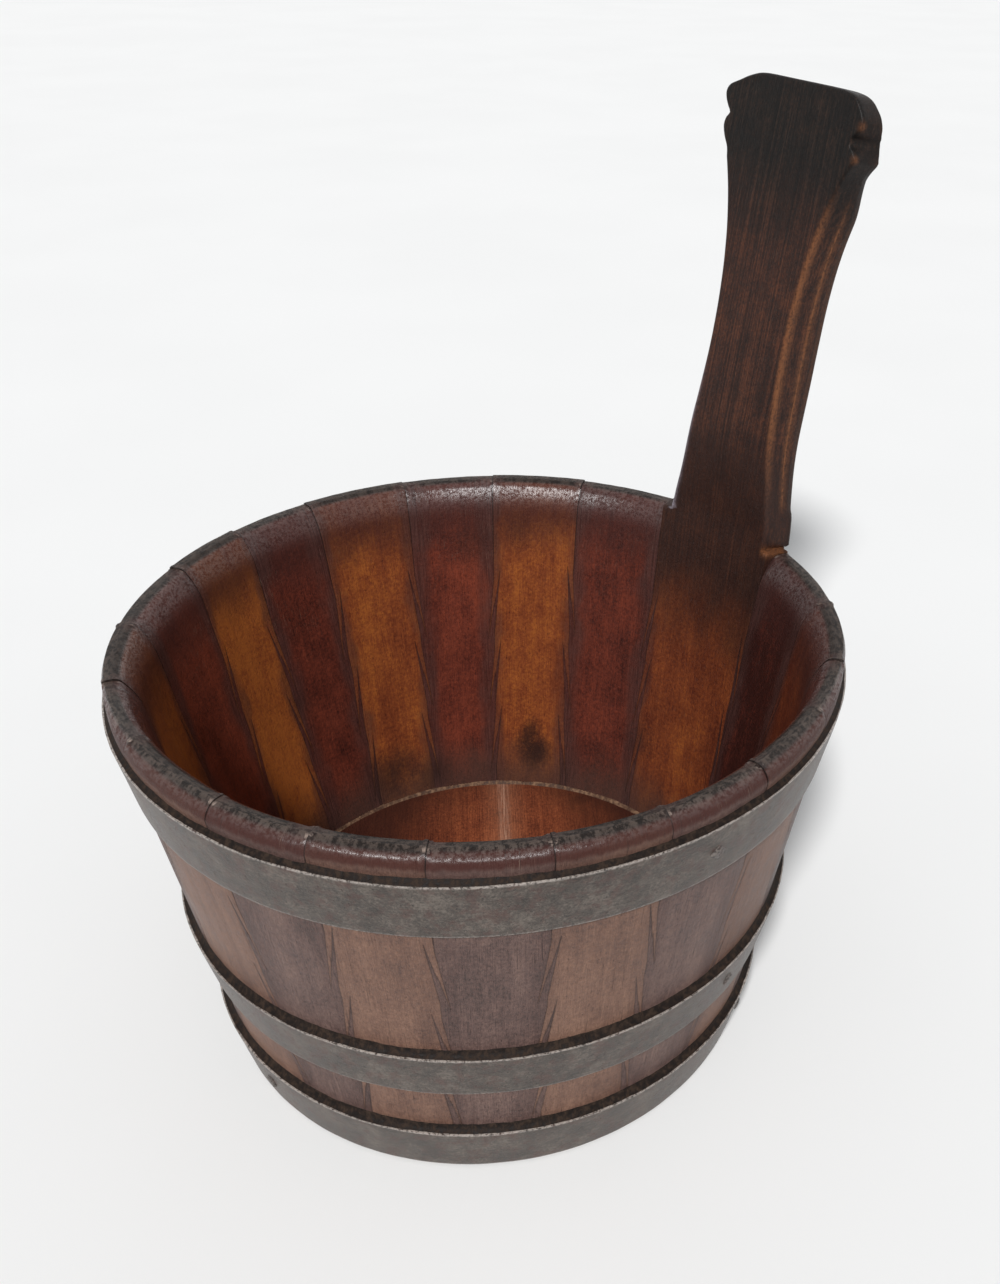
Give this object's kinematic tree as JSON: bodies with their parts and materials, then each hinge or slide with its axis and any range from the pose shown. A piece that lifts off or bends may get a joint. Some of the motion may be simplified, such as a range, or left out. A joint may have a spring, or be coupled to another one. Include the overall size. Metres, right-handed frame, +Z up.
{
  "type": "piggin",
  "caption": "Small coopered wooden bucket with feathered light and dark staves, iron hoops and one stave prolonged into a shaped upright handle.",
  "frame": {"origin": "middle of the ground that the whole piggin covers, handle included", "axes": "+Z up out of the bucket, +X from the bucket towards its handle, +Y to the left of the handle seen from inside the bucket"},
  "size_m": [0.2831, 0.2508, 0.3202],
  "materials": {
    "light_wood": "old waxed light wood, orange inside and worn brown outside",
    "dark_wood": "old waxed dark red-brown wood with open grain",
    "board_wood": "old waxed orange-red board, darker towards the wall",
    "hoop_iron": "dark brown-grey wrought iron with a soft sheen and worn edges",
    "fixing_iron": "dark forged iron rivet and nail heads"
  },
  "bodies": {
    "root": {"handle_stave": "light_wood", "stave_01": "dark_wood", "stave_02": "light_wood", "stave_03": "dark_wood", "stave_04": "light_wood", "stave_05": "dark_wood", "stave_06": "light_wood", "stave_07": "dark_wood", "stave_08": "light_wood", "stave_09": "dark_wood", "stave_10": "light_wood", "stave_11": "dark_wood", "stave_12": "light_wood", "stave_13": "dark_wood", "stave_14": "light_wood", "stave_15": "dark_wood", "stave_16": "light_wood", "stave_17": "dark_wood", "stave_18": "light_wood", "stave_19": "dark_wood", "bottom_board": "board_wood", "top_hoop": "hoop_iron", "middle_hoop": "hoop_iron", "bottom_hoop": "hoop_iron", "top_hoop_fixings": "fixing_iron", "middle_hoop_fixings": "fixing_iron", "bottom_hoop_fixings": "fixing_iron"}
  },
  "joints": []
}
